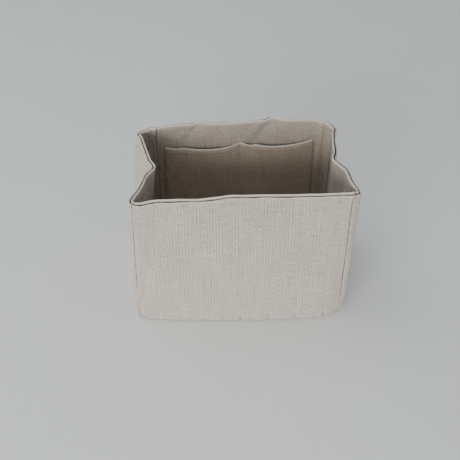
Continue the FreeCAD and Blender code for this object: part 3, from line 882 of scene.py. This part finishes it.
# the slip pocket's hem: places across the back wall and their heights
POCKET_EDGE = [
    (POCKET_LEFT, 151.0), (-64, 149.8), (-34, 148.4), (-12, 149.6), (DIVIDER, 153.0),
    (18, 150.2), (34, 148.6), (56, 148.6), (81, 151.0), (POCKET_RIGHT, 154.6),
]
DIVIDER_STATION = 4
POCKET_ENDS = (back_place(POCKET_RIGHT), back_place(POCKET_LEFT))


def back_across(places):
    """The place across the back wall of distances round the foot, at half height."""
    return wall(places, np.ones(np.shape(places)) * 0.5)[..., 0]


def pocket_top(across):
    """The height of the slip pocket's hem: a smooth curve through its stations, highest at the divider."""
    xs, zs = np.array(POCKET_EDGE, float).T
    slopes = np.gradient(zs, xs)
    slopes[DIVIDER_STATION] = 0
    index = np.clip(np.searchsorted(xs, across, side="right") - 1, 0, len(xs) - 2)
    span = xs[index + 1] - xs[index]
    share = np.clip((across - xs[index]) / span, 0, 1)
    cube, square = share**3, share**2
    return (
        (2 * cube - 3 * square + 1) * zs[index] + (cube - 2 * square + share) * span * slopes[index]
        + (3 * square - 2 * cube) * zs[index + 1] + (cube - square) * span * slopes[index + 1]
    )


def pocket_gape(across, rise):
    """How far the slip pocket stands off the lining, at a place along it and a share of its height."""
    low = np.where(across < DIVIDER, POCKET_LEFT, DIVIDER)
    high = np.where(across < DIVIDER, DIVIDER, POCKET_RIGHT)
    share = np.clip((across - low) / (high - low), 0, 1)
    reach = np.where(across < DIVIDER, 9.5, 9.0)
    return reach * np.sin(math.pi * share) ** 0.65 * np.clip(rise, 0, 1) ** 3.4


def pocket_grid(places, rises):
    """The slip pocket at distances round the foot and shares of its height: climbs, and its back's depth."""
    across = back_across(places)
    foot = ROUND_SHARE * 0.6
    climbs = foot + rises * (climb_at(pocket_top(across) * HEIGHT / 180.8) - foot)
    droop = 0.5 * waves(places, rises * 90, 61, 40) + 0.2 * waves(places, rises * 150, 62, 14)
    droop = droop * smooth(rises / 0.15) * smooth(np.sin(math.pi * np.clip(rises, 0, 1)) * 2)
    return climbs, LINING[1] + 0.75 + pocket_gape(across, rises) + droop


def pocket_hem(rises):
    return POCKET_CLOTH_THICK + 0.35 * smooth((rises - 0.945) / 0.012)


def slip_pocket():
    rows = np.concatenate([np.linspace(0, 0.93, 70), np.linspace(0.94, 1, 9)])
    places, rises = np.meshgrid(columns_between(*POCKET_ENDS), rows)
    climbs, back = pocket_grid(places, rises)
    face = back + pocket_hem(rises)
    skin, inner = in_wall(places, climbs, face), in_wall(places, climbs, back)
    crown = rounded_top(places[-1], face[-1], back[-1], climbs[-1])
    uv = np.stack([places, climbs * HEIGHT], axis=-1)
    # the hem's crown is painted paler as a painted highlight, and the pocket's back below it is painted dark
    # as painted shade in the gap behind it
    painted_light = smooth((rises - 0.978) / 0.016)
    return thick_sheet("slip_pocket", skin, inner, POCKET_CLOTH, crown, uv, painted_light, painted_light - 1, True)


piece = slip_pocket()
made_sheet(piece, "rear_slip_pocket")


def pocket_point(across, rises, proud):
    """A point on the slip pocket's face."""
    across, rises = np.broadcast_arrays(np.asarray(across, float), np.asarray(rises, float))
    places = back_place(across)
    climbs, back = pocket_grid(places, rises)
    return in_wall(places, climbs, back + pocket_hem(rises) + proud)


def side_pocket_ends(half):
    """The side pocket's ends round the foot, on one leaf of the left gusset."""
    ends = LINING_HALVES["left"][half]
    return (ends[0], ends[1] - 3) if half == "front" else (ends[0] + 2, ends[1])


def side_pocket_grid(places, rises):
    """Climbs and depths of the side pocket's back and face, at shares of its height."""
    drop = 3.5 * hump(places, BACK_LEFT - 12, 22) + 4 * smooth((places - BACK_LEFT) / 60)
    drop = drop - 13 * smooth((places - LEFT_FOLD) / 34)
    foot = ROUND_SHARE * 0.6
    climbs = foot + rises * (climb_at(SIDE_POCKET_TOP - drop) - foot)
    stand = LINING[1] + 0.3 + 0.08 * waves(places, rises * 150, 71, 25)
    stand = stand + 5.5 * hump(places, BACK_LEFT + 3, 8) * smooth(rises / 0.3)
    return climbs, stand, stand + 0.6 + 0.15 * smooth((rises - 0.95) / 0.02)


def side_pocket(half):
    places, rises = np.meshgrid(columns_between(*side_pocket_ends(half)), np.linspace(0, 1, 60))
    climbs, back, face = side_pocket_grid(places, rises)
    skin, inner = in_wall(places, climbs, face), in_wall(places, climbs, back)
    crown = rounded_top(places[-1], face[-1], back[-1], climbs[-1])
    uv = np.stack([places, climbs * HEIGHT], axis=-1)
    plain = np.zeros(rises.shape)
    return thick_sheet(f"left_pocket_{half}", skin, inner, POCKET_CLOTH, crown, uv, plain, plain, True)


SIDE_POCKET_FLAT = {"front": (72, 150), "back": (108, 150)}
for half, flat in SIDE_POCKET_FLAT.items():
    made_sheet(side_pocket(half), "left_side_pocket", "left")


# ---------------------------------------------------------------- the threads


def made_thread(piece, node, side=None):
    """Holds a thread piece as follow does and hides the imported seam thread that it stands for."""
    follow(piece, side)
    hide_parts(node)


def stitches(piece_name, curves, radius=THREAD_RADIUS, material=THREAD_STUFF):
    """Stitches along one or more curves, as one piece."""
    starts, ends = zip(*(stitched(curve) for curve in curves))
    return capsules(piece_name, np.concatenate(starts), np.concatenate(ends), radius, material)


def rim_curve(ends):
    """The rim's stitching line between two places, a little below the hem's crown."""
    places = np.linspace(ends[0] + 3, ends[1] - 3, 160)
    points = in_wall(places, np.ones(160), np.full(160, 1.95))
    points[:, 2] -= 2.2
    return points


def side_pocket_curve(half):
    """The side pocket's stitching line on one leaf, just under its hem."""
    start, end = side_pocket_ends(half)
    places = np.linspace(start + 3, end - 3, 120)
    climbs, _, face = side_pocket_grid(places, np.full(120, 0.973))
    return in_wall(places, climbs, face + 0.15)


made_thread(stitches("front_rim_stitches", [rim_curve(front)]), "front_rim_thread")
made_thread(stitches("back_rim_stitches", [rim_curve(back)]), "back_rim_thread")
for side, halves in HALVES.items():
    for half, ends in halves.items():
        piece = stitches(f"{side}_rim_stitches_{half}", [rim_curve(ends)])
        made_thread(piece, f"{side}_rim_thread", side)
for half in SIDE_POCKET_FLAT:
    piece = stitches(f"left_pocket_stitches_{half}", [side_pocket_curve(half)])
    made_thread(piece, "side_pocket_hem_thread", "left")

hem_spans = ((POCKET_LEFT + 3, DIVIDER - 2.6), (DIVIDER + 2.4, POCKET_RIGHT - 3))
curves = [pocket_point(np.linspace(*span, 90), np.full(90, 0.965), 0.12) for span in hem_spans]
made_thread(stitches("pocket_hem_stitches", curves, 0.32, PALE_THREAD), "pocket_hem_thread")
rises = np.linspace(0.06, 0.93, 120)
curve = pocket_point(np.full(120, DIVIDER), rises, 0.2)
made_thread(stitches("pocket_divider_stitches", [curve]), "pocket_divider_thread")
curves = [pocket_point(np.full(120, x), rises, 0.2) for x in (POCKET_LEFT + 2, POCKET_RIGHT - 2)]
made_thread(stitches("pocket_side_stitches", curves), "pocket_side_thread")

rises = np.linspace(ROUND_SHARE + 0.02, 0.985, 60)
for corner, place in SEAMS.items():
    points = in_wall(np.full(60, place), rises, np.full(60, 2.9))
    piece = cord_run(f"corner_seam_{corner}", points, THREAD_RADIUS, THREAD_STUFF)
    made_thread(piece, f"corner_thread_{corner}")
for side, halves in HALVES.items():
    low, high = min(ends[0] for ends in halves.values()), max(ends[1] for ends in halves.values())
    places = np.linspace(low + 2, high - 2, 80)
    points = in_wall(places, np.full(80, 0.004), np.full(80, 2.0))
    made_thread(cord_run(f"{side}_base_seam", points, THREAD_RADIUS, THREAD_STUFF), f"{side}_base_thread")
curve = in_wall(np.linspace(0, ROUND, 400), np.zeros(400), np.full(400, LINING[1] + 0.15))
made_thread(stitches("lining_base_stitches", [curve]), "lining_base_thread")


# ---------------------------------------------------------------- the stage


def area_light(label, place, aim, size, power, colour):
    """A soft rectangular light that faces a point."""
    lamp = bpy.data.lights.new(label, "AREA")
    lamp.shape = "RECTANGLE"
    lamp.size, lamp.size_y = size
    lamp.energy, lamp.color = power, colour
    holder = bpy.data.objects.new(label, lamp)
    bpy.context.scene.collection.objects.link(holder)
    holder.location = place
    holder.rotation_mode = "QUATERNION"
    holder.rotation_quaternion = (Vector(aim) - Vector(place)).to_track_quat("-Z", "Y")


def build_stage():
    """A plain pale floor, a pale sky and two soft lights."""
    bpy.ops.mesh.primitive_plane_add(size=12, location=(0, 1.5, 0))
    floor = bpy.context.object
    floor.name = "floor"
    material = bpy.data.materials.new("floor")
    material.use_nodes = True
    make = node_maker(material.node_tree)
    shader = material.node_tree.nodes["Principled BSDF"]
    spot = make("NewGeometry").outputs["Position"]
    mottle = make("TexNoise", {"Vector": spot, "Scale": 9.0, "Detail": 3.0}).outputs["Fac"]
    ramp = make("ValToRGB", {0: mottle})
    ramp.color_ramp.elements[0].color = (0.835, 0.850, 0.840, 1)
    ramp.color_ramp.elements[1].color = (0.870, 0.885, 0.875, 1)
    material.node_tree.links.new(ramp.outputs["Color"], shader.inputs["Base Color"])
    shader.inputs["Roughness"].default_value = 0.75
    floor.data.materials.append(material)
    world = bpy.data.worlds.new("studio")
    bpy.context.scene.world = world
    world.use_nodes = True
    world.node_tree.nodes["Background"].inputs["Color"].default_value = (0.93, 0.96, 1.0, 1)
    world.node_tree.nodes["Background"].inputs["Strength"].default_value = 0.52
    area_light("key", (-1.0, -2.0, 0.56), (0, 0, 0.1), (1.6, 0.8), 44, (1.0, 0.985, 0.965))
    area_light("top", (-0.9, 0.5, 1.9), (0, 0, 0.1), (1.6, 1.6), 10, (0.97, 0.99, 1.0))


def place_camera():
    """The camera at the fitted view: its turn, tilt and roll, and a lens for a square picture."""
    yaw, tilt, roll = math.radians(3.05), math.radians(36.77), math.radians(-0.28)
    forward = Vector((math.sin(yaw) * math.cos(tilt), math.cos(yaw) * math.cos(tilt), -math.sin(tilt)))
    right = Vector((math.cos(yaw), -math.sin(yaw), 0))
    down = forward.cross(right)
    turned = math.cos(roll) * right + math.sin(roll) * down
    lowered = math.cos(roll) * down - math.sin(roll) * right
    lens = bpy.data.cameras.new("camera")
    lens.lens, lens.sensor_width = 54.0, 36.0
    lens.clip_start, lens.clip_end = 0.05, 30
    camera = bpy.data.objects.new("camera", lens)
    bpy.context.scene.collection.objects.link(camera)
    axes = Matrix((turned, -lowered, -forward)).transposed().to_4x4()
    camera.matrix_world = Matrix.Translation(Vector((-49.5, -712.3, 606.3)) * MM) @ axes
    bpy.context.scene.camera = camera


build_stage()
place_camera()
